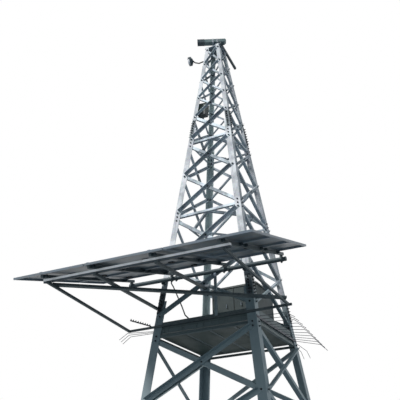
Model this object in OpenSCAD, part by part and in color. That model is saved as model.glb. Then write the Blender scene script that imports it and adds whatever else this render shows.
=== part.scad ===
// Lattice telecom tower with a solar array, an equipment platform and an anti-climb guard.
// Millimetres. Origin on the ground in the middle of the four feet, Z up, array towards -Y.
// Faces are numbered 0 front (-Y), 1 right (+X), 2 rear (+Y), 3 left (-X).
// Leg k stands at the left end of face k, as seen from outside.

/* [Tower] */
// Width over the leg corners at the ground
base_w = 3767; // [3500:1:4000]
// Width over the leg corners at the leg tops
top_w = 428; // [400:1:460]
// Height of the leg tops above the ground
leg_top = 13850; // [12900:10:14800]
// Height of the joint between lower and middle leg lengths over the platform
low_joint_rise = 657; // [640:1:700]

/* [Leg angles] */
// Leg of the lower corner angle
low_leg = 200; // [190:1:210]
// Thickness of the lower corner angle
low_leg_t = 16; // [12:0.5:18]
// Leg of the middle corner angle
mid_leg = 150; // [140:1:160]
// Thickness of the middle corner angle
mid_leg_t = 12; // [10:0.5:14]
// Leg of the upper corner angle
top_leg = 110; // [105:1:115]
// Thickness of the upper corner angle
top_leg_t = 10; // [8:0.5:11]
// Length of a plate over a lower leg joint
joint_plate_h = 560; // [500:1:580]
// Clearance between a plate over an upper leg joint and the bracing joints
joint_plate_gap = 91; // [85:1:120]
// Thickness of a plate over a leg joint
joint_plate_t = 10; // [8:0.5:12]

/* [Rings] */
// Leg of the level angles in the rings
ring_w = 60; // [50:1:62]
// Depth of the ring's bolts under the platform's top
deck_ring_drop = 153; // [143:1:155]

/* [Face bracing] */
// Leg of the diagonal angles under the platform
low_brace = 100; // [90:1:105]
// Leg of the diagonal angles in the middle lengths
mid_brace = 75; // [70:1:80]
// Leg of the diagonal angles in the top lengths
top_brace = 50; // [45:1:55]
// Thickness of the diagonal angles
brace_t = 7; // [5:0.5:9]
// Height of the lowest bracing joint
foot_node_z = 160; // [150:1:200]
// Height of a bracing panel under the platform
low_panel_h = 1310; // [1250:1:1380]
// Depth of the joints where the bracing ends under the platform's top
under_deck_drop = 251; // [243:1:270]
// Height of the joints where the bracing starts over the platform's top
over_deck_rise = 302; // [290:1:315]
// Depth of the highest bracing joints under the leg tops
top_node_drop = 70; // [60:1:80]
// Heights of the bracing panels over the platform, which share out the height up to the highest joints
panel_h = [1144, 1397, 1168, 1046, 847, 661, 644, 588, 540]; // [500:1:1450]

/* [Feet] */
// Side of a square base plate
foot_w = 440; // [400:1:480]
// Thickness of a base plate
foot_t = 30; // [20:1:40]
// Spacing of the anchor holes in a base plate
anchor_pitch = 330; // [310:1:340]
// Diameter of an anchor hole
anchor_d = 30; // [22:1:34]

/* [Platform] */
// Height of the top of the platform steel
deck_z = 5443; // [5200:1:5700]
// Depth of the platform beams
deck_beam_h = 100; // [80:1:110]
// Width of a platform beam
deck_beam_w = 60; // [50:1:70]
// Thickness of the deck plate
deck_t = 6; // [4:0.5:10]
// Cross beams under the deck
deck_beams = 3; // [2:1:5]
// Height of a toe board round the deck
toe_h = 150; // [100:1:160]

/* [Cabinet] */
// Width of the equipment cabinet
cabinet_w = 1125; // [1000:1:1150]
// Depth of the equipment cabinet
cabinet_d = 1000; // [900:1:1050]
// Height of the equipment cabinet
cabinet_h = 1000; // [900:1:1010]
// Distance of the cabinet's middle to the right of the axis
cabinet_x = 337; // [320:1:350]
// Distance of the cabinet's middle behind the axis
cabinet_y = 230; // [200:1:260]
// Depth of a cabinet door
door_t = 14; // [8:0.5:20]

/* [Solar array] */
// Length of a solar module
module_l = 1650; // [1640:1:1660]
// Width of a solar module
module_w = 990; // [980:1:1000]
// Depth of a module's frame
module_t = 40; // [35:1:50]
// Gap between modules
module_gap = 22; // [15:1:30]
// Tilt of the array
array_tilt = 15.8; // [15.4:0.1:16.2]
// Fall of the array to the right
array_fall = 1.2; // [1:0.1:1.4]
// Height of the underside of the array's low edge over the platform's top, at the axis
array_rise = 366; // [350:1:380]
// Level distance between the array's low edge and the middle of the rear tube
array_run = 3132; // [3110:1:3150]
// Depth of a rafter
rafter_h = 60; // [50:1:70]
// Width of a rafter
rafter_w = 50; // [40:1:60]
// Places of the four rafters and struts across the array
rafter_x = [-1840, -760, 550, 1880]; // [-1900:1:1900]
// Side of the square front rail
rail_w = 80; // [70:1:90]
// Distance of the front rail from the low edge, along the slope
rail_back = 300; // [260:1:340]
// Diameter of the rear tube
rear_tube_d = 95; // [85:1:100]
// Distance between the rear tube and the front legs
tube_gap = 101; // [90:1:110]
// Fall of the rear tube to the right
tube_fall = 1.3; // [1.2:0.1:1.6]
// Depth of the packer between the left rafter and the rear tube
tube_drop = 34; // [25:1:45]
// Side of the square lower beam
lower_beam_w = 45; // [40:1:50]
// Height of the lower beam's underside over the platform's top
lower_beam_rise = 41; // [37:1:45]
// Width of each of the four struts
strut_w = [48, 56, 52, 46]; // [40:1:60]
// Width of the long diagonal bar over the struts
plan_bar_w = 100; // [80:1:110]
// Depth of the long diagonal bar over the struts
plan_bar_h = 45; // [30:1:50]
// Distance of the rear tube's post to the right of the axis
post_x = 335; // [320:1:350]
// Side of the rear tube's post
post_w = 50; // [40:1:55]
// Diameter of the conduit from the platform to the rear tube
conduit_d = 30; // [20:1:32]

/* [Guard] */
// Depth of the right guard's bar under the platform's top
guard_drop = 43; // [35:1:50]
// Tines of the guard on the right side
guard_tines = 11; // [5:1:13]
// Reach of a right tine out to its bend
tine_reach = 590; // [500:1:620]
// Length of a tine beyond its bend
tine_tip = 210; // [150:1:240]
// Diameter of a tine
tine_d = 12; // [10:0.5:16]
// Bend of a tine's tip
tine_bend = 34; // [20:1:45]

/* [Head] */
// Thickness of the plate over the leg tops
cap_t = 12; // [10:0.5:16]
// Side of the post on the cap plate
head_post_w = 120; // [100:1:140]
// Height of the post on the cap plate
head_post_h = 250; // [230:1:260]
// Length of the beam on the post
head_beam_l = 630; // [600:1:660]
// Width of the beam on the post
head_beam_w = 165; // [150:1:180]
// Depth of the beam on the post
head_beam_h = 105; // [95:1:120]
// Length of the block at the beam's left end
head_block_l = 210; // [190:1:230]
// Side of the boom under the beam
boom_w = 64; // [56:1:70]
// Length of the boom
boom_l = 1290; // [1200:1:1320]
// Diameter of the lamp
lamp_d = 265; // [250:1:280]
// Depth of the lamp's housing
lamp_h = 70; // [60:1:80]
// Diameter of the lamp's arm
lamp_arm_d = 36; // [30:1:42]

/* [Radio unit] */
// Height of the radio unit's underside over the upper leg joint
radio_rise = 556; // [540:1:570]
// Width of the radio unit along the left side
radio_w = 190; // [150:1:195]
// Height of the radio unit
radio_h = 360; // [300:1:370]
// Depth of the radio unit
radio_d = 240; // [200:1:260]

/* [Hidden] */
$fn = 48;

steel = "lightslategray";
slope = (base_w - top_w) / 2 / leg_top;   // inward run of a leg corner per unit of height
stretch = sqrt(1 + slope * slope);        // length on a face per unit of height
lean = atan2(1, slope);                   // angle of a face above the ground
far = base_w;                             // reach of cutting solids
seat = 0.3;                               // play left where pieces seat on each other
over = 1;                                 // reach of a cut beyond the solid it cuts

// Levels
low_joint_z = deck_z + low_joint_rise;
deck_ring_z = deck_z - deck_ring_drop;
under_deck_z = deck_z - under_deck_drop;
over_deck_z = deck_z + over_deck_rise;
function sum(list, n) = n < 1 ? 0 : list[n - 1] + sum(list, n - 1);
function level(n) =
  over_deck_z + (leg_top - top_node_drop - over_deck_z) * sum(panel_h, n) / sum(panel_h, len(panel_h));
ring_gap = 105;                           // height between a ring and the bracing joints beside it
ring_at = [2, 4];                         // panels that start at a ring
high_joint_z = (level(ring_at[1]) + ring_gap + level(ring_at[1] + 1)) / 2;

function half(z) = base_w / 2 - slope * z;
function leg_w(z) = z < low_joint_z ? low_leg : z < high_joint_z ? mid_leg : top_leg;
function leg_t(z) = z < low_joint_z ? low_leg_t : z < high_joint_z ? mid_leg_t : top_leg_t;
function brace_w(z) = z < over_deck_z ? low_brace : z < high_joint_z ? mid_brace : top_brace;
function at_ring(n) = n == ring_at[0] || n == ring_at[1] ? ring_gap : 0;

// Bracing joints: pairs of the lower and upper joint height of each panel
low_panels = 3;      // like panels under the platform, over the one at the feet
lower_panels = [
  [foot_node_z, under_deck_z - low_panels * low_panel_h],
  for (i = [low_panels:-1:1]) [under_deck_z - i * low_panel_h, under_deck_z - (i - 1) * low_panel_h]
];
upper_panels = [
  for (i = [0:len(panel_h) - 1]) [level(i) + at_ring(i), level(i + 1) - at_ring(i + 1)]
];

// Moves a shape drawn on the XY plane onto face k, with Y up the slope and Z outwards
module on_face(k) {
  rotate([0, 0, 90 * k]) translate([0, -base_w / 2, 0]) rotate([lean, 0, 0]) children();
}

// One flange of a leg angle, on the left or right edge of a face
module flange(z0, z1, w, t, side) {
  v0 = (z0 - t) * stretch;
  v1 = (z1 + t) * stretch;
  u0 = half(z0 - t);
  u1 = half(z1 + t);
  translate([0, 0, -t]) linear_extrude(t)
    polygon([[side * u0, v0], [side * (u0 - w), v0], [side * (u1 - w), v1], [side * u1, v1]]);
}

// Leg k between two heights: two flanges with level ends
module leg(k, z0, z1, w, t) {
  intersection() {
    union() {
      on_face(k) flange(z0, z1, w, t, -1);
      on_face(k + 3) flange(z0, z1, w, t, 1);
    }
    translate([-far, -far, z0]) cube([2 * far, 2 * far, z1 - z0]);
  }
}

// Base plates under the legs with four anchor holes each
foot_at = base_w / 2 - low_leg / 2;
module foot_plates() {
  color(steel) for (k = [0:3]) rotate([0, 0, 90 * k]) translate([-foot_at, -foot_at, 0]) difference() {
    translate([-foot_w / 2, -foot_w / 2, 0]) cube([foot_w, foot_w, foot_t]);
    for (x = [-1, 1], y = [-1, 1])
      translate([x * anchor_pitch / 2, y * anchor_pitch / 2, -over])
        cylinder(h = foot_t + 2 * over, d = anchor_d);
  }
}

module lower_leg(k) {
  color(steel) leg(k, foot_t, low_joint_z, low_leg, low_leg_t);
}

module middle_leg(k) {
  color(steel) leg(k, low_joint_z, high_joint_z, mid_leg, mid_leg_t);
}

module upper_leg(k) {
  color(steel) leg(k, high_joint_z, leg_top, top_leg, top_leg_t);
}

// Angle bar on a face from a to b, lapped past both bolts.
// side 1 lies on the outside with its free flange outwards along its upper edge.
// side -1 lies on the inside with its free flange inwards along its lower edge.
module face_angle(a, b, w, at, side, lap, cope) {
  d = b - a;
  length = norm(d);
  translate([a.x, a.y, at]) rotate([0, 0, atan2(d.y, d.x)]) mirror([0, 0, side < 0 ? 1 : 0]) {
    translate([-lap, -w / 2, 0]) cube([length + 2 * lap, w, brace_t]);
    translate([cope - lap, side > 0 ? w / 2 - brace_t : -w / 2, 0])
      cube([length + 2 * lap - 2 * cope, brace_t, w]);
  }
}

lap_share = 0.22;    // overlap of a bar's end, as a share of the leg's width
flange_cut = 45;     // free flange of a bar cut back from its bolt

function crossing(z0, z1) =
  z0 + (z1 - z0) * (half(z0) - leg_w(z0) / 2) / (half(z0) - leg_w(z0) / 2 + half(z1) - leg_w(z1) / 2);

// One crossed panel between joint heights z0 and z1
module cross_panel(z0, z1) {
  w = brace_w(z0);
  u0 = half(z0) - leg_w(z0) / 2;
  u1 = half(z1) - leg_w(z1) / 2;
  v0 = z0 * stretch;
  v1 = z1 * stretch;
  depth = leg_t(z0);
  lap = lap_share * leg_w(z1);
  middle = crossing(z0, z1) * stretch;
  face_angle([-u0, v0], [u1, v1], w, 0, 1, lap, lap + flange_cut);
  face_angle([-u1, v1], [u0, v0], w, -depth, -1, lap, lap + flange_cut);
  translate([-w / 2, middle - w / 2, -depth]) cube([w, w, depth]);
  if (leg_t(z1) < depth)
    translate([-u1 - lap, v1 - w / 2, -depth]) cube([2 * lap, w, depth - leg_t(z1)]);
}

module lower_bracing(k) {
  color(steel) on_face(k) for (p = lower_panels) cross_panel(p[0], p[1]);
}

open_face = 3;       // face left without bracing over the platform, as the way onto it
module upper_bracing(k) {
  first = k == open_face ? 1 : 0;
  color(steel) on_face(k) for (i = [first:len(upper_panels) - 1])
    cross_panel(upper_panels[i][0], upper_panels[i][1]);
}

// Four level angles inside the legs at height z
module ring_bars(z) {
  u = half(z) - leg_w(z) / 2;
  lap = lap_share * leg_w(z);
  v = z * stretch;
  for (k = [0:3])
    on_face(k) face_angle([-u, v], [u, v], ring_w, -leg_t(z), -1, lap, lap + flange_cut);
}

// Level diamond of angles between the middles of the four ring bars
module ring_diamond(z) {
  m = half(z) - leg_t(z) - brace_t - ring_w / 2;
  length = m * sqrt(2);
  under = z - ring_w / 2 - brace_t;
  for (k = [0:3]) rotate([0, 0, 90 * k]) translate([0, -m, under]) rotate([0, 0, 45]) {
    translate([0, -ring_w / 2, 0]) cube([length, ring_w, brace_t]);
    translate([ring_w, -ring_w / 2, 0]) cube([length - 2 * ring_w, brace_t, ring_w]);
  }
}

module deck_ring() {
  color(steel) ring_bars(deck_ring_z);
}

module lower_ring() {
  color(steel) union() {
    ring_bars(level(ring_at[0]));
    ring_diamond(level(ring_at[0]));
  }
}

module upper_ring() {
  color(steel) union() {
    ring_bars(level(ring_at[1]));
    ring_diamond(level(ring_at[1]));
  }
}

// Flat plates over both flanges of every leg at the joint at height z
plate_edge = 8;      // leg corner left bare beside a joint plate
plate_short = 20;    // joint plate narrower than the leg above
module leg_joint(z, w, h) {
  for (k = [0:3], side = [-1, 1]) on_face(k) {
    v0 = (z - h / 2) * stretch;
    v1 = (z + h / 2) * stretch;
    u0 = half(z - h / 2) - plate_edge;
    u1 = half(z + h / 2) - plate_edge;
    linear_extrude(joint_plate_t) polygon([
      [side * u0, v0], [side * (u0 - w), v0], [side * (u1 - w), v1], [side * u1, v1]
    ]);
  }
}

module joint_plates() {
  space = level(ring_at[1] + 1) - level(ring_at[1]) - ring_gap;
  color(steel) union() {
    leg_joint(low_joint_z, mid_leg - plate_short, joint_plate_h);
    leg_joint(high_joint_z, top_leg - plate_short, space - 2 * joint_plate_gap);
  }
}

// Beams under the deck: four edge beams between the legs and cross beams between them
deck_out = half(deck_z) - low_leg_t * stretch - seat;
module platform_beams() {
  inner = deck_out - deck_beam_w;
  color("dimgray") translate([0, 0, deck_z - deck_beam_h]) {
    difference() {
      translate([-deck_out, -deck_out, 0]) cube([2 * deck_out, 2 * deck_out, deck_beam_h]);
      translate([-inner, -inner, -over]) cube([2 * inner, 2 * inner, deck_beam_h + 2 * over]);
    }
    for (i = [1:deck_beams])
      translate([-inner + i * 2 * inner / (deck_beams + 1) - deck_beam_w / 2, -inner, 0])
        cube([deck_beam_w, 2 * inner, deck_beam_h]);
  }
}

module platform_deck() {
  w = half(deck_z + deck_t) - low_leg_t * stretch - seat;
  color("dimgray") translate([-w, -w, deck_z]) cube([2 * w, 2 * w, deck_t]);
}

// Toe boards that stand on the deck's edges, apart at the corners
toe_t = 6;
toe_gap = 30;
module toe_boards() {
  w = half(deck_z + deck_t + toe_h) - low_leg_t * stretch - seat;
  color("dimgray") for (k = [0:3]) rotate([0, 0, 90 * k])
    translate([-w + toe_gap, -w, deck_z + deck_t]) cube([2 * (w - toe_gap), toe_t, toe_h]);
}

roof_h = 40;
roof_over = 25;
door_edge = 20;      // cabinet left bare round a door
module cabinet_doors() {
  w = (cabinet_w - 3 * door_edge) / 2;
  color("gray") for (i = [0, 1]) translate([
    cabinet_x - cabinet_w / 2 + door_edge + i * (w + door_edge),
    cabinet_y - cabinet_d / 2 - door_t - seat,
    deck_z + deck_t + door_edge
  ]) cube([w, door_t, cabinet_h - 2 * door_edge]);
}

module cabinet_body() {
  color("gray") translate([cabinet_x - cabinet_w / 2, cabinet_y - cabinet_d / 2, deck_z + deck_t])
    cube([cabinet_w, cabinet_d, cabinet_h]);
}

module cabinet_roof() {
  color("gray") translate([
    cabinet_x - cabinet_w / 2 - roof_over,
    cabinet_y - cabinet_d / 2 - roof_over,
    deck_z + deck_t + cabinet_h
  ]) cube([cabinet_w + 2 * roof_over, cabinet_d + 2 * roof_over, roof_h]);
}

array_z = deck_z + array_rise;
// Underside of the modules over the rear tube at the left rafter, and the tube's middle there
rear_rise = array_z + array_run * tan(array_tilt) - rafter_x[0] * tan(array_fall);
tube_high = rear_rise - (rafter_h + rear_tube_d / 2) / cos(array_tilt) - tube_drop;
rear_tube_y = half(tube_high) + tube_gap + rear_tube_d / 2;
array_y = rear_tube_y + array_run;

// Moves a shape onto the array: Y up the slope from the low edge, Z out of the front
module on_array() {
  translate([0, -array_y, array_z]) rotate([array_tilt, array_fall, 0]) children();
}

// A module is a tray: a glass laminate on a deep frame that is open below
laminate_t = 5;
lip = 32;
module solar_module() {
  difference() {
    cube([module_l, module_w, module_t]);
    translate([lip, lip, -over])
      cube([module_l - 2 * lip, module_w - 2 * lip, module_t - laminate_t + over]);
  }
}

module module_row(row) {
  pitch = module_l + module_gap;
  color("midnightblue") on_array() for (i = [-1:1])
    translate([i * pitch - module_l / 2, row * (module_w + module_gap), 0]) solar_module();
}

rafter_past = 55;    // rafter beyond the middle of the rear tube
rafter_start = 40;   // rafter back from the low edge
rafter_end = array_run / cos(array_tilt) + rafter_past;
module array_rafters() {
  color("silver") on_array() for (x = rafter_x)
    translate([x - rafter_w / 2, rafter_start, -rafter_h])
      cube([rafter_w, rafter_end - rafter_start, rafter_h]);
}

rail_past_left = 150;     // front rail beyond the left rafter's middle
rail_past_right = 90;     // front rail beyond the right rafter's middle
rail_left = rail_past_left - rafter_x[0];
rail_right = rail_past_right + rafter_x[3];
module array_front_rail() {
  color("silver") on_array() translate([-rail_left, rail_back - rail_w / 2, -rafter_h - rail_w])
    cube([rail_left + rail_right, rail_w, rail_w]);
}

// The rear tube falls to the right more than the array
tube_past_left = 45;      // rear tube beyond the left rafter's middle
tube_past_right = 105;    // rear tube beyond the right rafter's middle
tube_left = tube_past_left - rafter_x[0];
tube_right = tube_past_right + rafter_x[3];
function tube_z(x) = tube_high - (x - rafter_x[0]) * tan(tube_fall);
module tube_rod(d) {
  translate([-tube_left, -rear_tube_y, tube_z(-tube_left)]) rotate([0, 90 + tube_fall, 0])
    cylinder(h = (tube_left + tube_right) / cos(tube_fall), d = d);
}

module array_rear_tube() {
  color("dimgray") tube_rod(rear_tube_d);
}

// Packers that fill the gap between the rear tube and the rafters
packer_w = 70;
module array_packers() {
  color("dimgray") difference() {
    for (x = rafter_x)
      translate([x - rafter_w / 2, -rear_tube_y - packer_w / 2, tube_z(x)])
        cube([rafter_w, packer_w, rear_tube_d + 2 * tube_drop]);
    tube_rod(rear_tube_d + 2 * seat);
    on_array() translate([-far, -far, -rafter_h - seat]) cube([2 * far, 3 * far, far]);
  }
}

lower_beam_z = deck_z + lower_beam_rise;
beam_back = half(lower_beam_z) + seat;
strut_out = 80;      // right strut's lower end to the right of its rafter
beam_past_left = 40;      // lower beam beyond the left strut's middle
beam_past_right = 60;     // lower beam beyond the right strut's middle
beam_left = beam_past_left - rafter_x[0];
beam_right = beam_past_right + rafter_x[3] + strut_out;
module array_lower_beam() {
  color("dimgray") translate([-beam_left, -beam_back - lower_beam_w, lower_beam_z])
    cube([beam_left + beam_right, lower_beam_w, lower_beam_w]);
}

// Post that stands on the lower beam and carries the middle of the rear tube
module array_post() {
  foot = lower_beam_z + lower_beam_w;
  color("dimgray") translate([post_x - post_w / 2, -beam_back - post_w, foot])
    cube([post_w, post_w, tube_z(post_x + post_w / 2) - rear_tube_d / 2 - 1.5 * seat - foot]);
}

// Brackets between the rear tube and the two front legs, cut to the slope of the legs
bracket_w = 100;
bracket_h = 120;
module array_tube_brackets() {
  front = -rear_tube_y + rear_tube_d / 2 + seat;
  color("dimgray") for (side = [-1, 1]) {
    x = side * (half(tube_high) - mid_leg / 2);
    z0 = tube_z(x) - bracket_h / 2;
    z1 = tube_z(x) + bracket_h / 2;
    translate([x - bracket_w / 2, 0, 0]) rotate([90, 0, 90]) linear_extrude(bracket_w)
      polygon([[front, z0], [-half(z0) - seat, z0], [-half(z1) - seat, z1], [front, z1]]);
  }
}

// Struts start under the front rail, cut round its lowest edge. The outer two fall to the lower beam.
// The inner two rise, one to the plate on the front left leg and one to a gusset under the crossing.
strut_past = 60;     // strut beyond the rail's lowest edge
strut_bite = 4;      // depth of the cut round the rail's lowest edge
strut_low = 4;       // upper side of an outer strut below the lower beam's top
strut_top = lower_beam_z + lower_beam_w - strut_low;
under_rail = rafter_h + rail_w;
y_rail = -array_y + (rail_back - rail_w / 2) * cos(array_tilt) + under_rail * sin(array_tilt);
z_rail = array_z + (rail_back - rail_w / 2) * sin(array_tilt) - under_rail * cos(array_tilt) + strut_bite;
y_beam = -beam_back - lower_beam_w - seat;
function rail_z(x) = z_rail - x * tan(array_fall);
leg_end_drop = 135;  // upper end of the second strut under the leg joint
leg_end_in = 4;      // middle of that end inside the leg's corner
leg_end_z = low_joint_z - leg_end_drop;
leg_end_x = leg_end_in - half(leg_end_z);
gusset_x = 45;       // middle of the gusset to the right of the axis
gusset_h = 190;
gusset_w = 170;
gusset_v = crossing(level(0), level(1)) * stretch - mid_brace / 2 - seat - gusset_h;
gusset_z = gusset_v / stretch;
strut_ends = [
  [rafter_x[0], y_beam, strut_top],
  [leg_end_x, -half(leg_end_z), leg_end_z],
  [gusset_x, -half(gusset_z), gusset_z + gusset_h / 2 + strut_w[2] / 2],
  [rafter_x[3] + strut_out, y_beam, strut_top]
];
function strut_start(i) = [rafter_x[i], y_rail, rail_z(rafter_x[i])];

// Point on the upper side of strut i, a level distance y behind the rail's lowest edge
function strut_at(i, y) =
  strut_start(i) + (strut_ends[i] - strut_start(i)) * y / (strut_ends[i].y - y_rail);

// Square bar whose upper side runs from a to b, longer than that at both ends
module strut_bar(a, b, w) {
  v = b - a;
  run = norm([v.x, v.y]);
  translate(a) rotate([0, 0, atan2(v.y, v.x)]) rotate([0, -atan2(v.z, run), 0])
    translate([-strut_past, -w / 2, -w]) cube([norm(v) + 2 * strut_past, w, w]);
}

module array_struts() {
  color("dimgray") difference() {
    for (i = [0:3]) strut_bar(strut_start(i), strut_ends[i], strut_w[i]);
    on_array() translate([-far, rail_back - rail_w / 2 - seat, -rafter_h - rail_w - seat])
      cube([2 * far, rail_w + 2 * seat, rail_w]);
    translate([-far, y_beam, strut_top - far]) cube([2 * far, far, far + strut_w[3]]);
    on_face(0) translate([-far, 0, -far + seat]) cube([2 * far, 2 * far, far]);
    on_face(0) translate([-far, 0, -far + seat + joint_plate_t]) cube([far, 2 * far, far]);
  }
}

// Gusset between the outside and the inside bar, under their crossing on the front
module strut_gusset() {
  color(steel) on_face(0) translate([gusset_x - gusset_w / 2, gusset_v, -mid_leg_t + seat])
    cube([gusset_w, gusset_h, mid_leg_t - 2 * seat]);
}

// Long diagonal bar that lies on the outer two struts and passes under the inner two
plan_start = 185;    // bar's middle behind the rail's lowest edge, on the left strut
plan_end = 272;      // bar's middle in front of the lower beam, on the right strut
plan_past = 60;      // bar's ends beyond the middles of the outer struts
plan_seat = 1;       // play under the bar, as the outer struts fall unequally
module array_plan_bar() {
  a = strut_at(0, plan_start);
  b = strut_at(3, y_beam - y_rail - plan_end);
  d = b - a;
  fall_y = (rail_z(0) - strut_top) / (y_beam - y_rail);
  fall_x = -(d.z + fall_y * d.y) / d.x;
  color("dimgray") translate(a) rotate([-atan(fall_y), atan(fall_x), 0]) rotate([0, 0, atan2(d.y, d.x)])
    translate([-plan_past, -plan_bar_w / 2, plan_seat])
      cube([norm(d) + 2 * plan_past, plan_bar_w, plan_bar_h]);
}

// Eight-sided rod from a to b
module rod(a, b, d) {
  v = b - a;
  translate(a) rotate([0, acos(v.z / norm(v)), atan2(v.y, v.x)]) cylinder(h = norm(v), d = d, $fn = 8);
}

// Conduit that climbs from the deck inside the front face and turns forward to the rear tube
conduit_in = 110;    // conduit's middle behind the front face at its highest bend
conduit_foot_x = -330;
conduit_foot_h = 70;
conduit_low_bend = [-557, 307];       // places across the tower and heights over the platform's top
conduit_mid_bend = [-640, 527];
conduit_high_bend = [-855, 1020];
conduit_end_x = -770;
conduit_end_h = 60;
module array_conduit() {
  y = -half(deck_z + conduit_high_bend.y) + conduit_in;
  foot = deck_z + deck_t + seat;
  top = tube_z(conduit_end_x + conduit_d / 2) - rear_tube_d / 2 - 1.5 * seat;
  points = [
    [conduit_foot_x, y, foot],
    [conduit_foot_x, y, foot + conduit_foot_h],
    for (p = [conduit_low_bend, conduit_mid_bend, conduit_high_bend]) [p.x, y, deck_z + p.y],
    [conduit_end_x, -rear_tube_y, top - conduit_end_h],
    [conduit_end_x, -rear_tube_y, top]
  ];
  color("dimgray") union() for (i = [1:len(points) - 1]) rod(points[i - 1], points[i], conduit_d);
}

// Six-sided rod out of a face, leaning down and along it, with its tip bent down
module tine(reach, tip, droop, splay, bend) {
  rotate([droop, splay, 0]) {
    cylinder(h = reach, d = tine_d, $fn = 6);
    translate([0, 0, reach - tine_d / 4]) rotate([bend, 0, 0]) cylinder(h = tip, d = tine_d, $fn = 6);
  }
}

// Guard along the right side, with three more tines round the rear right corner
guard_bar_h = 60;    // height of a guard's bar
guard_bar_t = 8;     // thickness of a guard's bar
guard_inset = 20;    // bar kept back from the tower's corner
front_droop = 5;     // lean of the front tine below the normal of the face
rear_droop = 17;     // lean of the rear tine below the normal of the face
front_splay = 11;    // turn of the front tine to the rear
rear_splay = 22;     // turn of the rear tine to the rear
corner_count = 3;
corner_pitch = 95;
guard_z = deck_z - guard_drop;
module guard_right() {
  u = half(guard_z) - guard_inset;
  v = guard_z * stretch;
  step = 2 * (u - guard_bar_h) / (guard_tines - 1);
  color("dimgray") on_face(1) union() {
    translate([-u, v - guard_bar_h / 2, seat]) cube([2 * u, guard_bar_h, guard_bar_t]);
    for (i = [0:guard_tines - 1]) {
      share = i / (guard_tines - 1);
      translate([-u + guard_bar_h + i * step, v, guard_bar_t / 2])
        tine(tine_reach, tine_tip, front_droop + share * (rear_droop - front_droop),
          front_splay + share * (rear_splay - front_splay), tine_bend);
    }
  }
  color("dimgray") on_face(2) union() {
    length = guard_inset + corner_count * corner_pitch;
    translate([-u, v - guard_bar_h / 2, seat]) cube([length, guard_bar_h, guard_bar_t]);
    for (i = [0:corner_count - 1])
      translate([-u + guard_bar_h / 2 + i * corner_pitch, v, guard_bar_t / 2])
        tine(tine_reach, tine_tip, rear_droop, -front_splay + i * front_splay / 2, tine_bend);
  }
}

// Longer tines at the front left corner
left_guard_drop = 11;
left_guard_z = deck_z - left_guard_drop;
left_count = 3;
left_pitch = 68;
left_reach = 720;
left_tip = 250;
left_droop = 2;      // lean of the nearest left tine below the normal of the face
left_spread = 2;     // further lean of each next tine
module guard_left() {
  u = half(left_guard_z) - guard_inset;
  v = left_guard_z * stretch;
  length = guard_inset + left_count * left_pitch;
  color("dimgray") on_face(3) union() {
    translate([u - length, v - guard_bar_h / 2, seat]) cube([length, guard_bar_h, guard_bar_t]);
    for (i = [0:left_count - 1])
      translate([u - guard_bar_h / 2 - i * left_pitch, v, guard_bar_t / 2])
        tine(left_reach, left_tip, left_droop + i * left_spread, 0, tine_bend);
  }
}

// Toothed arm that lies on the left end of the lower beam and points forward
arm_l = 640;
arm_h = 28;
arm_t = 6;
tooth_h = 34;
tooth_count = 9;
tooth_tip = 0.45;    // place of a tooth's end along its pitch
tooth_foot = 0.5;    // place of a tooth's foot along its pitch
arm_turn = 104;      // direction of the arm from the right, seen from above
arm_x = 1285;
module guard_arm() {
  pitch = arm_l / tooth_count;
  back = beam_back + arm_t;
  color("dimgray") translate([-arm_x, -back, lower_beam_z + lower_beam_w + seat])
    rotate([0, 0, -arm_turn]) rotate([90, 0, 0]) linear_extrude(arm_t) polygon([
      [0, 0], [arm_l, 0],
      for (i = [0:tooth_count - 1], part = [0, 1, 2])
        [arm_l - (i + [0, tooth_tip, tooth_foot][part]) * pitch, arm_h + [0, tooth_h, 0][part]],
      [0, arm_h]
    ]);
}

cap_past = 20;       // cap plate beyond the leg corners
module cap_plate() {
  w = half(leg_top) + cap_past;
  color(steel) translate([-w, -w, leg_top]) cube([2 * w, 2 * w, cap_t]);
}

head_z = leg_top + cap_t + head_post_h;
module head_post() {
  color(steel) translate([-head_post_w / 2, -head_post_w / 2, leg_top + cap_t])
    cube([head_post_w, head_post_w, head_post_h]);
}

// Moves a shape onto the head: X along the beam from the block's face, Z up from its underside
head_turn = 25;
head_x = -271;
head_y = -164;
module on_head() translate([head_x, head_y, head_z]) rotate([0, 0, head_turn]) children();

end_slant = 55;      // underside of the beam shorter than its top
end_chamfer = 25;
module head_beam() {
  color(steel) on_head() translate([0, head_beam_w / 2, 0]) rotate([90, 0, 0])
    linear_extrude(head_beam_w) polygon([
      [0, 0], [head_beam_l - end_slant, 0],
      [head_beam_l, head_beam_h - 2 * end_chamfer],
      [head_beam_l - end_chamfer, head_beam_h], [0, head_beam_h]
    ]);
}

block_more = 4;      // block larger than the beam all round
module head_block() {
  w = head_beam_w + 2 * block_more;
  color("dimgray") on_head() translate([-head_block_l - seat, -w / 2, 0])
    cube([head_block_l, w, head_beam_h + block_more]);
}

boom_x = 162;
boom_y = 40;
boom_turn = 93.9;
module head_boom() {
  color("dimgray") translate([boom_x, -boom_y, head_z - boom_w - seat]) rotate([0, 0, boom_turn])
    translate([0, -boom_w / 2, 0]) cube([boom_l, boom_w, boom_w]);
}

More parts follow.
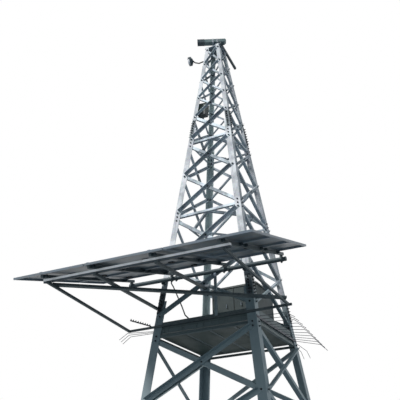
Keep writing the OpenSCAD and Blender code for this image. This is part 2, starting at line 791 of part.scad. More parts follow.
// Sagging arm on the front left leg and the lamp at its end
arm_drop = 410;      // arm's root under the leg tops
arm_plate = 70;
arm_plate_t = 6;
arm_in = 60;         // arm back from the tower's front
arm_start = 2;       // arm's start outside the leg
arm_z = leg_top - arm_drop;
arm_root = [-half(arm_z) - arm_start, -half(arm_z) + arm_in, arm_z];
arm_out = 347;       // reach of the arm to the left of its root
arm_forward = 59;    // reach of the arm in front of its root
arm_rise = 105;      // arm's end over its root
arm_dip = 28;        // arm's lowest point under its root
arm_sag = arm_root + [-arm_out / 2, -arm_forward / 3, -arm_dip];
arm_up = arm_root + [-arm_out * 0.85, -arm_forward * 0.7, arm_dip];
arm_end = arm_root + [-arm_out, -arm_forward, arm_rise];
lamp_axis = [-0.75, -0.45, -0.3];
lamp_back = 0.6;     // diameter of the lamp's back, as a share of its front
module lamp_arm() {
  color("dimgray") union() {
    on_face(3) translate([half(arm_z) - arm_in - arm_plate / 2, arm_z * stretch - arm_plate / 2, seat])
      cube([arm_plate, arm_plate, arm_plate_t]);
    rod(arm_root, arm_sag, lamp_arm_d);
    rod(arm_sag, arm_up, lamp_arm_d);
    rod(arm_up, arm_end, lamp_arm_d);
    rod(arm_end, arm_end + lamp_axis / norm(lamp_axis) * lamp_arm_d / 2, lamp_arm_d);
  }
}

// Lamp housing: a drum that faces away from the arm, with a smaller back
module lamp_body() {
  v = lamp_axis;
  back_h = lamp_h / 2;
  color("dimgray") translate(arm_end) rotate([0, acos(v.z / norm(v)), atan2(v.y, v.x)])
    translate([0, 0, lamp_arm_d / 2 + seat]) union() {
      cylinder(h = back_h + over, d = lamp_d * lamp_back);
      translate([0, 0, back_h]) cylinder(h = lamp_h, d = lamp_d);
    }
}

// Radio unit inside the front left leg, on a strap over the leg's flange
strap_t = 8;
strap_h = 60;
strap_l = 78;        // strap between the radio unit and its end at the leg
strap_back = 12;     // strap's end short of the leg's other flange
module radio_box() {
  w0 = top_leg_t + seat;
  radio_z = high_joint_z + radio_rise;
  v = radio_z * stretch;
  edge = half(radio_z + radio_h) - top_leg_t - strap_back;
  radio_in = edge - strap_l - radio_w;
  color("darkolivegreen") on_face(3) union() {
    translate([radio_in, v, -w0 - strap_t - radio_d]) cube([radio_w, radio_h, radio_d + over]);
    translate([radio_in, v + (radio_h - strap_h) / 2, -w0 - strap_t])
      cube([edge - radio_in, strap_h, strap_t]);
  }
}

foot_plates();
lower_leg(0);  // leg_front_left_lower
lower_leg(1);  // leg_front_right_lower
lower_leg(2);  // leg_rear_right_lower
lower_leg(3);  // leg_rear_left_lower
middle_leg(0);  // leg_front_left_middle
middle_leg(1);  // leg_front_right_middle
middle_leg(2);  // leg_rear_right_middle
middle_leg(3);  // leg_rear_left_middle
upper_leg(0);  // leg_front_left_upper
upper_leg(1);  // leg_front_right_upper
upper_leg(2);  // leg_rear_right_upper
upper_leg(3);  // leg_rear_left_upper
lower_bracing(0);  // front_bracing_lower
lower_bracing(1);  // right_bracing_lower
lower_bracing(2);  // rear_bracing_lower
lower_bracing(3);  // left_bracing_lower
upper_bracing(0);  // front_bracing_upper
upper_bracing(1);  // right_bracing_upper
upper_bracing(2);  // rear_bracing_upper
upper_bracing(3);  // left_bracing_upper
deck_ring();
lower_ring();
upper_ring();
joint_plates();
platform_beams();
platform_deck();
toe_boards();  // platform_toe_boards
cabinet_body();
cabinet_doors();
cabinet_roof();
module_row(0);  // module_row_low
module_row(1);  // module_row_middle
module_row(2);  // module_row_high
array_rafters();
array_front_rail();
array_rear_tube();
array_packers();
array_tube_brackets();
array_lower_beam();
array_struts();
strut_gusset();
array_plan_bar();
array_post();
array_conduit();
guard_right();
guard_left();
guard_arm();
cap_plate();
head_post();
head_beam();
head_block();
head_boom();
lamp_arm();
lamp_body();
radio_box();
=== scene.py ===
"""Dresses a lattice telecom tower: finishes for its steel, bolts, solar fittings, cabinet and head."""

import math

import bmesh
import bpy
from bpy.props import FloatProperty, FloatVectorProperty, IntProperty, PointerProperty
from mathutils import Matrix, Vector


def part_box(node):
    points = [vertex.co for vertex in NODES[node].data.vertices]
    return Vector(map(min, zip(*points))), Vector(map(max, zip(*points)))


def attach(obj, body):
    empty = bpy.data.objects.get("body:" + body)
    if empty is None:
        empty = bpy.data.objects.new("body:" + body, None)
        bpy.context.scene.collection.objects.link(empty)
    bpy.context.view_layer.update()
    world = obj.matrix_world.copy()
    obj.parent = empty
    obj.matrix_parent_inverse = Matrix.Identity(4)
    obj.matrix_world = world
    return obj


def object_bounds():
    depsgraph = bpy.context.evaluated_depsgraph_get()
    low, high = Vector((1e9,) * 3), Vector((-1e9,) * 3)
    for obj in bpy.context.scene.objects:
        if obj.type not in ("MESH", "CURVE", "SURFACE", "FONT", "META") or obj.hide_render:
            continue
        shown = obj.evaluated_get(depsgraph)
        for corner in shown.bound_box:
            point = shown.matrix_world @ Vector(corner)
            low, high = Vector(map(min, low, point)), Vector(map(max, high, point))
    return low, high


bl_info = {
    "name": "Telecom tower dressing",
    "version": (1, 0, 0),
    "blender": (4, 5, 0),
    "location": "View3D > Sidebar > Tower",
    "description": "Adds finishes and small fittings to a lattice telecom tower",
    "category": "Object",
}

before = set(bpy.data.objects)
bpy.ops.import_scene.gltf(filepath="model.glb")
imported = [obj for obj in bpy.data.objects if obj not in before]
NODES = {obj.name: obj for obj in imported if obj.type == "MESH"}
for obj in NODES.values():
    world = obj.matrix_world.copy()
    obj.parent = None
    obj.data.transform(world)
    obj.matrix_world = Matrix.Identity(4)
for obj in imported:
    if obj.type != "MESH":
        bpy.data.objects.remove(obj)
cad_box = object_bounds()


def low(part):
    """Lowest corner of a steel part."""
    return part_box(part)[0]


def high(part):
    """Highest corner of a steel part."""
    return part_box(part)[1]


# ---- settings


def number(name, description, default, **more):
    """A setting that is a plain number."""
    return FloatProperty(name=name, description=description, default=default, **more)


def angle(name, description, default):
    """A setting that is an angle."""
    return number(name, description, default, unit="ROTATION")


def length(name, description, *default):
    """A setting that is a length, or a row of lengths."""
    if len(default) == 1:
        return number(name, description, default[0], unit="LENGTH")
    return FloatVectorProperty(
        name=name, description=description, default=default, size=len(default), unit="LENGTH")


def triple(name, description, *default, kind="COLOR"):
    """A setting that is a colour, or three numbers of another kind."""
    return FloatVectorProperty(name=name, description=description, default=default, size=3, subtype=kind)


class TowerSizes(bpy.types.PropertyGroup):
    """Sizes of the tower's frame, which place its bolts"""

    base_width: length("Base width", "Width over the leg corners at the ground", 3.767)
    top_width: length("Top width", "Width over the leg corners at the leg tops", 0.428)
    low_joint: length("Lower joint", "Height where the lower legs meet the middle ones",
                      high("leg_front_left_lower").z)
    high_joint: length("Upper joint", "Height where the middle legs meet the upper ones",
                       high("leg_front_left_middle").z)
    leg_widths: length("Leg widths", "Flange widths of the lower, middle and upper legs", 0.200, 0.150, 0.110)
    leg_thicknesses: length("Leg thicknesses", "Flange thicknesses of the lower, middle and upper legs",
                            0.016, 0.012, 0.010)
    brace_thickness: length("Brace thickness", "Thickness of the bracing angles", 0.007)
    plate_thickness: length("Joint plate thickness", "Thickness of the plates over the leg joints", 0.010)
    lower_levels: length("Lower levels", "Heights of the bracing joints under the platform",
                         0.160, 1.262, 2.572, 3.882, 5.192)
    middle_levels: length("Middle levels", "Heights of the bracing joints between platform and lower ring",
                          5.745, 6.889, 8.181)
    ring_levels: length("Ring levels", "Heights of the bracing joints between the two rings",
                        8.391, 9.454, 10.395)
    upper_levels: length("Upper levels", "Heights of the bracing joints over the upper ring",
                         10.605, 11.347, 12.008, 12.652, 13.240, 13.780)
    ring_heights: length("Ring heights", "Heights of the three rings of level angles", 5.290, 8.286, 10.500)


class BoltSizes(bpy.types.PropertyGroup):
    """Sizes of the bolts"""

    across: length("Across flats", "Width of a bolt's head across its flats", 0.032)
    head: length("Head height", "Height of a bolt's head or nut", 0.016)
    stub: length("Thread past nut", "Length of bolt that stands past a nut", 0.024)
    splice_rows: IntProperty(
        name="Joint rows", description="Bolts up each side of a leg joint", default=7, min=2, max=10)
    splice_pitch: length("Joint pitch", "Distance between the bolts of a leg joint", 0.076)


class ArraySizes(bpy.types.PropertyGroup):
    """Sizes of the solar array, which place its fittings"""

    module_length: length("Module length", "Length of a solar module", 1.650)
    module_width: length("Module width", "Width of a solar module", 0.990)
    module_depth: length("Module depth", "Depth of a solar module's frame", 0.040)
    module_gap: length("Module gap", "Gap between solar modules", 0.022)
    back_inset: length("Back inset", "How far a module's back lies inside the front of its frame", 0.005)
    tilt: angle("Tilt", "Tilt of the solar array", math.radians(15.8))
    fall: angle("Fall", "Fall of the solar array to the right", math.radians(1.2))
    low_edge_height: length("Low edge height", "Height of the underside of the array's low edge, at the axis",
                            low("platform_deck").z + 0.366)
    low_edge_reach: length("Low edge reach", "Distance of the low edge in front of the tower's axis",
                           3.132 - (low("array_rear_tube").y + high("array_rear_tube").y) / 2)
    rafter_depth: length("Rafter depth", "Depth of a rafter", 0.060)
    rafter_places: length("Rafter places", "Places of the rafters across the array",
                          -1.840, -0.760, 0.550, 1.880)
    rail_width: length("Rail width", "Side of the front rail", 0.080)
    # painted shade: the rail is left bright over this share of its depth and painted dark below it
    rail_lit_share: number("Lit share", "Share of the front rail's depth left bright above the painted shade",
                       0.52, min=0, max=1, subtype="FACTOR")
    tube_fall: angle("Tube fall", "Fall of the rear tube to the right", math.radians(1.3))


class FinishColours(bpy.types.PropertyGroup):
    """Colours of the tower's finishes"""

    leg_zinc: triple("Leg zinc", "Weathered zinc of the legs", 0.575, 0.60, 0.64)
    # painted light: a paler copy of the leg zinc, so that the rear-left leg's shaded inside reads lighter
    back_leg_painted_light: triple("Back leg zinc", "Paler zinc painted on the rear leg in the lattice's shade", 0.61, 0.70, 0.70)
    brace_zinc: triple("Brace zinc", "Weathered zinc of the bracing", 0.48, 0.55, 0.61)
    dull_zinc: triple("Dull zinc", "Old zinc of feet, cap and posts", 0.25, 0.31, 0.36)
    bolt_zinc: triple("Bolt zinc", "Darker zinc of bolts and nuts", 0.045, 0.055, 0.065)
    plate_zinc: triple("Plate zinc", "Dark zinc of the plates over the leg joints", 0.125, 0.160, 0.180)
    # painted shade: the tone that the legs, bracing and plates take below 6.35 m, in place of the solar
    # array's shadow on them
    array_painted_shade: triple("Array painted shade", "Stain of steel that rain and sun don't reach", 0.27, 0.34, 0.37)
    platform_steel: triple("Platform steel", "Dull steel of the platform", 0.046, 0.074, 0.070)
    # painted light: a lighter copy of the platform steel for the edge beams, toe boards, deck ring, clips and
    # bolts, which lie in shade
    edge_painted_light_steel: triple("Edge steel painted lighter", "Platform steel painted lighter round the platform's edge, which lies in shade",
                       0.125, 0.165, 0.175)
    guard_steel: triple("Guard steel", "Dull steel of the guard's wires", 0.075, 0.085, 0.105)
    array_steel: triple("Array steel", "Dull steel under the solar array", 0.070, 0.095, 0.108)
    dark_steel: triple("Dark steel", "Coated steel of the rear tube, the boom and the lamp",
                       0.052, 0.078, 0.092)
    aluminium: triple("Aluminium", "Dull aluminium of module frames, clamps and handles", 0.24, 0.29, 0.345)
    mill_aluminium: triple("Mill aluminium", "Bright mill finish of the front rail", 0.78, 0.82, 0.86)
    alloy_dust: triple("Aluminium dust", "Dust on aluminium", 0.42, 0.45, 0.48)
    alloy_dirt: triple("Aluminium dirt", "Dirty patches of the module frames", 0.26, 0.28, 0.30)
    # painted shade: the dark tone of the front rail's lower half
    rail_painted_shade: triple("Rail painted shade", "Painted shade on the front rail's lower half", 0.085, 0.105, 0.120)
    cell: triple("Solar cell", "Darker part of a solar cell under glass", 0.012, 0.018, 0.045)
    cell_light: triple("Solar cell light", "Lighter part of a solar cell under glass", 0.022, 0.035, 0.075)
    cell_line: triple("Cell line", "Thin conductors across a solar cell", 0.22, 0.24, 0.28)
    cell_gap: triple("Cell gap", "Gaps between the solar cells", 0.11, 0.12, 0.14)
    backsheet: triple("Backsheet", "Back of a solar module", 0.165, 0.215, 0.26)
    backsheet_dirt: triple("Backsheet dirt", "Dirty patches of a module's back", 0.20, 0.195, 0.19)
    cabinet_paint: triple("Cabinet paint", "Paint of the equipment cabinet", 0.085, 0.105, 0.108)
    # painted shade: a darker copy of the cabinet paint for the doors, whose front lies in shade
    door_painted_shade: triple("Door paint with painted shade", "Paint of the cabinet's doors", 0.037, 0.057, 0.060)
    head_coat: triple("Head coating", "Coating of the beam at the top", 0.14, 0.20, 0.21)
    radio_paint: triple("Radio paint", "Paint of the radio unit", 0.13, 0.16, 0.14)
    plastic: triple("Plastic", "Black plastic of boxes, caps and the lamp's arm", 0.02, 0.021, 0.022)
    lens: triple("Lens", "Frosted lens of the lamp", 0.92, 0.92, 0.96)
    rust: triple("Rust", "Rust at worn places", 0.16, 0.075, 0.035)


class StudioSettings(bpy.types.PropertyGroup):
    """Floor, lights and camera"""

    floor_colour: triple("Floor", "Colour of the floor", 0.62, 0.62, 0.62)
    floor_bounce: triple("Floor bounce", "Colour the floor shows to the light it throws up", 0.11, 0.15, 0.18)
    key_strength: number("Key light", "Strength of the key light", 2.4)
    key_size: angle("Key size", "Angle that the key light covers in the sky", math.radians(9))
    key_colour: triple("Key colour", "Colour of the key light", 1.0, 0.985, 0.96)
    key_direction: triple("Key direction", "Direction in which the key light shines",
                          0.42, 0.62, -0.66, kind="XYZ")
    fill_strength: number("Fill light", "Strength of the light from all round", 0.42)
    fill_colour: triple("Fill colour", "Colour of the light from all round", 0.82, 0.94, 1.0)
    camera_place: triple("Camera", "Place of the camera", 5.845, -12.879, 1.601, kind="TRANSLATION")
    camera_yaw: angle("Camera turn", "Turn of the camera to the left of the tower's front", 0.46527)
    camera_pitch: angle("Camera tilt", "Upward tilt of the camera", 0.48042)
    camera_roll: angle("Camera roll", "Roll of the camera", -0.02235)
    camera_lens: number("Lens", "Focal length of the camera in millimetres", 56.07, unit="CAMERA")


def settings(name):
    """One group of settings on the scene."""
    return getattr(bpy.context.scene, "tower_" + name)


# ---- places

HALF_TURN = math.pi
QUARTER_TURN = math.pi / 2
ALONG_X = (0, QUARTER_TURN, 0)
ALONG_Y = (QUARTER_TURN, 0, 0)


def slope():
    """Inward run of a leg corner for each unit of height."""
    s = settings("sizes")
    return (s.base_width - s.top_width) / 2 / low("cap_plate").z


def half_width(z):
    """Distance of a leg corner from the tower's axis at height z."""
    return settings("sizes").base_width / 2 - slope() * z


def stretch():
    """Length on a leaning face for each unit of height."""
    return math.sqrt(1 + slope() ** 2)


def leg_part(z):
    """0, 1 or 2 for the lower, middle or upper legs."""
    s = settings("sizes")
    return 0 if z < s.low_joint else 1 if z < s.high_joint else 2


def at(x, y, z):
    """A move."""
    return Matrix.Translation((x, y, z))


def spin(turn, axis):
    """A turn round an axis."""
    return Matrix.Rotation(turn, 4, axis)


def on_face(k):
    """Matrix of face k: X along it, Y up it, Z out of it."""
    out = at(0, -settings("sizes").base_width / 2, 0)
    return spin(QUARTER_TURN * k, "Z") @ out @ spin(math.atan2(1, slope()), "X")


def on_array():
    """Matrix of the solar array: Y up its slope from the low edge, Z out of its front."""
    a = settings("array")
    return at(0, -a.low_edge_reach, a.low_edge_height) @ spin(a.fall, "Y") @ spin(a.tilt, "X")


def module_pitch():
    """Distances between the middles of neighbouring solar modules, across and up the array."""
    a = settings("array")
    return a.module_length + a.module_gap, a.module_width + a.module_gap


# ---- modelling by hand tools


def deselect():
    """Leaves nothing selected."""
    if bpy.context.object and bpy.context.object.mode != "OBJECT":
        bpy.ops.object.mode_set(mode="OBJECT")
    bpy.ops.object.select_all(action="DESELECT")


def activate(piece):
    """Makes a piece the only selected one."""
    deselect()
    piece.select_set(True)
    bpy.context.view_layer.objects.active = piece


def edit(piece):
    """Goes into edit mode on one piece."""
    activate(piece)
    bpy.ops.object.mode_set(mode="EDIT")


def done():
    """Leaves edit mode."""
    bpy.ops.object.mode_set(mode="OBJECT")


def settle(piece, matrix=None):
    """Puts a piece's place into its mesh, after an extra move."""
    bpy.context.view_layer.update()
    piece.data.transform((matrix or Matrix.Identity(4)) @ piece.matrix_world)
    piece.matrix_world = Matrix.Identity(4)
    return piece


def add(tool, **values):
    """Adds a thing with one of the tools that add, and nothing else selected."""
    deselect()
    tool(**values)
    return bpy.context.object


def block(size, place=(0, 0, 0)):
    """A box of this size round this place, still to be shaped."""
    piece = add(bpy.ops.mesh.primitive_cube_add, size=1, location=place)
    piece.scale = size
    return settle(piece)


def drum(radius, depth, sides=12, place=(0, 0, 0), turn=(0, 0, 0)):
    """A cylinder round this place, still to be shaped."""
    return settle(add(bpy.ops.mesh.primitive_cylinder_add, vertices=sides, radius=radius, depth=depth,
                      location=place, rotation=turn))


def facing(axis, both=False):
    """A test for faces that look along an axis such as "z" or "-z", or along both its directions."""
    sign = -1 if axis.startswith("-") else 1

    def test(_, normal):
        share = sign * getattr(normal, axis[-1])
        return (abs(share) if both else share) > 0.9

    return test


def pick_faces(piece, wanted):
    """In edit mode, selects the faces for which wanted(centre, normal) is true."""
    bpy.ops.mesh.select_mode(type="FACE")
    mesh = bmesh.from_edit_mesh(piece.data)
    for face in mesh.faces:
        face.select_set(bool(wanted(face.calc_center_median(), face.normal)))
    bmesh.update_edit_mesh(piece.data)


def shape(piece, wanted, inset=0, extrude=None, move=None, delete=False):
    """Insets the wanted faces, then pulls them out, moves them or takes them away."""
    edit(piece)
    pick_faces(piece, wanted)
    if inset:
        bpy.ops.mesh.inset(thickness=inset)
    if extrude:
        bpy.ops.mesh.extrude_region_move(TRANSFORM_OT_translate={"value": extrude})
    if move:
        bpy.ops.transform.translate(value=move)
    if delete:
        bpy.ops.mesh.delete(type="FACE")
    done()
    return piece


def modify(piece, kind, **values):
    """Applies a modifier with these values."""
    activate(piece)
    tool = piece.modifiers.new(kind, kind)
    for key, value in values.items():
        setattr(tool, key, value)
    bpy.ops.object.modifier_apply(modifier=tool.name)
    return piece


def hollow(piece, axis, wall, inset=0, offset=-1):
    """Opens both ends of a piece along an axis and gives what is left a wall."""
    shape(piece, facing(axis, both=True), inset=inset, delete=True)
    return modify(piece, "SOLIDIFY", thickness=wall, offset=offset)


def bevel(piece, width, segments=1):
    """Takes the sharp edges off a piece."""
    return modify(piece, "BEVEL", width=width, segments=segments, limit_method="ANGLE",
                  angle_limit=math.radians(35))


def copies(master, matrices):
    """Copies of a piece, each with its own mesh, at each of these matrices."""
    made = []
    for matrix in matrices:
        one = master.copy()
        one.data = master.data.copy()
        one.data.transform(matrix)
        bpy.context.scene.collection.objects.link(one)
        made.append(one)
    bpy.data.objects.remove(master)
    return made


def join(parts, name):
    """Joins pieces into one with this name."""
    deselect()
    for part in parts:
        part.select_set(True)
    bpy.context.view_layer.objects.active = parts[0]
    if len(parts) > 1:
        bpy.ops.object.join()
    piece = bpy.context.object
    piece.name = name
    piece.data.name = name
    settle(piece)
    return piece


def fit(parts, name, finish):
    """Joins parts into a piece that has the finish of this short name and rides on the tower."""
    piece = join(parts, name)
    piece.data.materials.clear()
    piece.data.materials.append(FINISH[finish])
    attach(piece, "root")


# ---- shader nodes

NODES_IN_ROW = 10
NODE_STEP = 320


def feed(tree, socket, value):
    """Links a socket to an input, or sets the input to a value; a colour comes without its alpha."""
    if isinstance(value, bpy.types.NodeSocket):
        tree.links.new(value, socket)
    else:
        socket.default_value = (*value, 1) if socket.type == "RGBA" else value


def node(tree, kind, **values):
    """Adds a shader node, in rows from left to right, and sets or links its values by name."""
    made = tree.nodes.new("ShaderNode" + kind)
    row, column = divmod(len(tree.nodes), NODES_IN_ROW)
    made.location = (column * NODE_STEP, -row * NODE_STEP)
    for key, value in values.items():
        if hasattr(made, key):
            setattr(made, key, value)
        else:
            feed(tree, made.inputs[key.replace("_", " ")], value)
    return made


def object_place(tree):
    """Place of a shaded point in the piece's own space."""
    return node(tree, "TexCoord").outputs["Object"]


def noise(tree, vector, **values):
    """Noise at this vector."""
    return node(tree, "TexNoise", Vector=vector, **values).outputs["Fac"]


def run_marks(tree, vector, stretched, **values):
    """Noise drawn out up and down, for the marks that water leaves."""
    return noise(tree, node(tree, "Mapping", Vector=vector, Scale=stretched).outputs["Vector"], **values)


def split(tree, vector):
    """The parts of a vector, by axis."""
    return node(tree, "SeparateXYZ", Vector=vector).outputs


def mix(tree, share, first, second, blend="MIX"):
    """Mixes two colours; share, first and second are sockets or values."""
    made = node(tree, "Mix", data_type="RGBA", blend_type=blend)
    for i, value in ((0, share), (6, first), (7, second)):
        feed(tree, made.inputs[i], value)
    return made.outputs[2]


def maths(tree, operation, *values):
    """One step of arithmetic; the values are sockets or numbers."""
    made = node(tree, "Math", operation=operation)
    for socket, value in zip(made.inputs, values):
        feed(tree, socket, value)
    return made.outputs[0]


def ramp(tree, value, start, end):
    """0 below start and 1 above end, smooth between."""
    return node(tree, "MapRange", interpolation_type="SMOOTHSTEP", Value=value, From_Min=start,
                From_Max=end).outputs["Result"]


def relief(tree, height, strength, distance):
    """Bumps that follow a height."""
    return node(tree, "Bump", Height=height, Strength=strength, Distance=distance).outputs["Normal"]


def new_group(name, colours, numbers):
    """A shader group that gives a surface's colour, roughness and height, with its two ends."""
    group = bpy.data.node_groups.new(name, "ShaderNodeTree")
    for labels, side, kind in (
            (colours, "INPUT", "Color"), (numbers, "INPUT", "Float"),
            (("Color",), "OUTPUT", "Color"), (("Roughness", "Height"), "OUTPUT", "Float")):
        for label in labels:
            group.interface.new_socket(name=label, in_out=side, socket_type="NodeSocket" + kind)
    inside, outside = group.nodes.new("NodeGroupInput"), group.nodes.new("NodeGroupOutput")
    inside.location, outside.location = (-NODE_STEP, 0), (-NODE_STEP, -NODE_STEP)
    return group, inside.outputs, outside


def new_material(name):
    """A material with its node tree and its shader."""
    made = bpy.data.materials.new(name)
    made.use_nodes = True
    return made, made.node_tree, made.node_tree.nodes["Principled BSDF"]


def surface(tree, end, **values):
    """Feeds the inputs of a shader or of a group's end."""
    for key, value in values.items():
        feed(tree, end.inputs[key.replace("_", " ")], value)


# ---- finishes


def zinc_group():
    """Weathered zinc: patches, crystal grain and run marks, with all below a given height mixed toward a
    bottom tone; on the legs, bracing and plates that zone is painted shade under the array.
    """
    group, given, end = new_group(
        "Zinc weathering and painted shade", ("Zinc", "Dull", "Stain"), ("Stained height", "Patch scale", "Run marks"))
    place = object_place(group)
    patches = noise(group, place, Scale=given["Patch scale"], Detail=5.0, Roughness=0.6)
    grain = node(group, "TexVoronoi", Vector=place, Scale=55.0).outputs
    runs = run_marks(group, place, (14.0, 14.0, 0.9), Scale=1.6, Detail=4.0, Roughness=0.65)
    dulled = ramp(group, patches, 0.38, 0.66)
    run_share = maths(group, "MULTIPLY", ramp(group, runs, 0.50, 0.74), given["Run marks"])
    colour = mix(group, dulled, given["Zinc"], given["Dull"])
    colour = mix(group, 0.10, colour, grain["Color"], "OVERLAY")
    colour = mix(group, run_share, colour, given["Dull"], "MULTIPLY")
    # painted shade on the legs, bracing and plates: below the given height, along a wavy line, the colour
    # goes over to the bottom tone
    wavy = maths(group, "MULTIPLY_ADD", patches, 0.5, -0.25)
    height = maths(group, "ADD", split(group, place)["Z"], wavy)
    over = maths(group, "SUBTRACT", height, given["Stained height"])
    toned_below = maths(group, "SUBTRACT", 1.0, ramp(group, over, -0.25, 0.12))
    surface(group, end, Color=mix(group, toned_below, colour, given["Stain"]),
            Roughness=maths(group, "MULTIPLY_ADD", dulled, 0.18, 0.46),
            Height=maths(group, "MULTIPLY_ADD", grain["Distance"], 0.3, runs))


def grime_and_shade_group():
    """Dust that settles in patches, with darker runs and specks of rust, and painted shade on faces that look
    down.
    """
    group, given, end = new_group(
        "Grime and underside shade", ("Base", "Dust", "Rust"), ("Dust share", "Rust share", "Under share", "Scale"))
    place = object_place(group)
    clouds = noise(group, place, Scale=given["Scale"], Detail=6.0, Roughness=0.62)
    runs = run_marks(group, place, (9.0, 9.0, 0.8), Scale=1.4, Detail=4.0)
    specks = noise(group, place, Scale=26.0, Detail=5.0, Roughness=0.7)
    dust = maths(group, "MULTIPLY", ramp(group, clouds, 0.42, 0.70), given["Dust share"])
    dark = maths(group, "MULTIPLY", ramp(group, runs, 0.55, 0.80), 0.45)
    spots = maths(group, "MULTIPLY", ramp(group, specks, 0.62, 0.72), given["Rust share"])
    # the second tint is painted shade for faces that look down; the first darkens the dirt runs
    run_tint, underside_shade_tint = (0.35, 0.36, 0.36), (0.22, 0.27, 0.30)
    colour = mix(group, dust, given["Base"], given["Dust"])
    colour = mix(group, dark, colour, run_tint, "MULTIPLY")
    colour = mix(group, spots, colour, given["Rust"])
    # painted shade: faces that look down are darkened by the given share
    normal = node(group, "NewGeometry").outputs["Normal"]
    down = maths(group, "MULTIPLY", split(group, normal)["Z"], -1.0)
    under = maths(group, "MULTIPLY", ramp(group, down, 0.5, 0.8), given["Under share"])
    surface(group, end, Color=mix(group, under, colour, underside_shade_tint, "MULTIPLY"),
            Roughness=maths(group, "MULTIPLY_ADD", dust, 0.35, 0.48),
            Height=maths(group, "ADD", specks, clouds))


def finish(name, group_name, metallic, **values):
    """A finish whose colour, roughness and bump come from one of the shared groups."""
    made, tree, shader = new_material(name)
    skin = node(tree, "Group", node_tree=bpy.data.node_groups[group_name], **values).outputs
    surface(tree, shader, Metallic=metallic, Specular_IOR_Level=0.3, Base_Color=skin["Color"],
            Roughness=skin["Roughness"], Normal=relief(tree, skin["Height"], 0.15, 0.002))
    return made


def zinc(name, colour, dull, bottom_tone, toned_below=-1.0, patch=1.6, runs=0.55, metallic=0.12):
    """A weathered zinc finish: the dull tone is that of older patches, and all below the given height takes
    the bottom tone, which on the legs, bracing and plates is painted shade.
    """
    return finish(name, "Zinc weathering and painted shade", metallic, Zinc=colour, Dull=dull, Stain=bottom_tone,
                  Stained_height=toned_below, Patch_scale=patch, Run_marks=runs)


def paint(name, colour, dust, share, rusty, scale, metallic=0.0, under=0.0):
    """A painted or coated finish with dust, runs and rust specks, and painted shade on its faces that look
    down.
    """
    return finish(name, "Grime and underside shade", metallic, Base=colour, Dust=dust, Rust=settings("colours").rust,
                  Dust_share=share, Rust_share=rusty, Under_share=under, Scale=scale)


def array_axes(tree):
    """Place of a shaded point in the array's own axes: as one vector, and split into its parts."""
    inverse = on_array().inverted()
    turned = node(tree, "Mapping", Vector=object_place(tree), Location=inverse.translation,
                  Rotation=inverse.to_euler()).outputs["Vector"]
    return turned, split(tree, turned)


def rail_finish():
    """Mill aluminium, bright along the rail's upper part, with painted shade along its lower part and on its
    faces that look down.
    """
    a, c = settings("array"), settings("colours")
    # painted shade: the rail's faces that look down are darkened nearly fully
    made = paint("Mill aluminium", c.mill_aluminium, c.alloy_dust,
                 share=0.3, rusty=0.05, scale=4.0, metallic=0.9, under=0.95)
    tree = made.node_tree
    base = tree.nodes["Principled BSDF"].inputs["Base Color"]
    dust_and_shade_colour = base.links[0].from_socket
    # painted shade: below this line across the rail's depth the colour is multiplied by the rail's shade tone
    edge = a.rafter_depth + a.rail_width * a.rail_lit_share
    blur = 0.004
    above = maths(tree, "ADD", array_axes(tree)[1]["Z"], edge)
    shaded_share = maths(tree, "SUBTRACT", 1.0, ramp(tree, above, -blur, blur))
    feed(tree, base, mix(tree, shaded_share, dust_and_shade_colour, c.rail_painted_shade, "MULTIPLY"))
    return made


def module_finish():
    """Solar module: cells under glass on top, aluminium frame, pale back inside the frame."""
    a, c = settings("array"), settings("colours")
    margin, rim_width, half_gap, top_skin, back_skin = 0.028, 0.011, 0.0025, 0.0004, 0.0006
    cells_across, cells_up = 10, 6
    whole = 3  # modules, by which places are shifted so that no remainder is negative
    made, tree, shader = new_material("Solar module")
    place = object_place(tree)
    turned, axes = array_axes(tree)
    pitch_x, pitch_y = module_pitch()

    def step(operation, *values):
        return maths(tree, operation, *values)

    def stripes(value, size, count):
        """1 on the lines between cells, on the margin round them, and on the frame's rim."""
        cell = (size - 2 * margin) / count
        part = step("FRACT", step("DIVIDE", step("SUBTRACT", value, margin), cell))
        off = step("ABSOLUTE", step("SUBTRACT", part, 0.5))
        out = step("ABSOLUTE", step("SUBTRACT", value, size / 2))
        return (step("GREATER_THAN", off, 0.5 - half_gap / cell),
                step("GREATER_THAN", out, size / 2 - margin),
                step("GREATER_THAN", out, size / 2 - rim_width))

    shifted = step("ADD", axes["X"], a.module_length / 2 + whole * pitch_x)
    along = step("MODULO", shifted, pitch_x)
    up = step("MODULO", step("ADD", axes["Y"], whole * pitch_y), pitch_y)
    across = stripes(along, a.module_length, cells_across)
    upward = stripes(up, a.module_width, cells_up)
    gap, border, rim = [step("MAXIMUM", *pair) for pair in zip(across, upward)]

    lines = node(tree, "TexWave", Vector=turned, Scale=7.6, Distortion=0.0).outputs["Fac"]
    shade = noise(tree, place, Scale=1.3, Detail=3.0)
    dirt = noise(tree, place, Scale=4.0, Detail=6.0, Roughness=0.65)
    cell = mix(tree, shade, c.cell, c.cell_light)
    cell = mix(tree, ramp(tree, lines, 0.992, 0.999), cell, c.cell_line)
    cell = mix(tree, step("MAXIMUM", gap, border), cell, c.cell_gap)
    alloy = mix(tree, ramp(tree, dirt, 0.4, 0.7), c.aluminium, c.alloy_dirt)
    back = mix(tree, ramp(tree, dirt, 0.35, 0.72), c.backsheet, c.backsheet_dirt)

    on_top = step("GREATER_THAN", axes["Z"], a.module_depth - top_skin)
    glass = step("MULTIPLY", on_top, step("SUBTRACT", 1.0, rim))
    depth = step("ABSOLUTE", step("SUBTRACT", axes["Z"], a.module_depth - a.back_inset))
    behind = step("MULTIPLY", step("LESS_THAN", depth, back_skin), step("SUBTRACT", 1.0, border))
    surface(tree, shader, Base_Color=mix(tree, glass, mix(tree, behind, alloy, back), cell),
            Roughness=step("MULTIPLY_ADD", glass, -0.30, 0.42), Coat_Weight=glass, Coat_Roughness=0.04,
            Normal=relief(tree, dirt, 0.08, 0.001))
    return made


def faded(colour, share):
    """A darker tone of a colour."""
    return [share * part for part in colour]


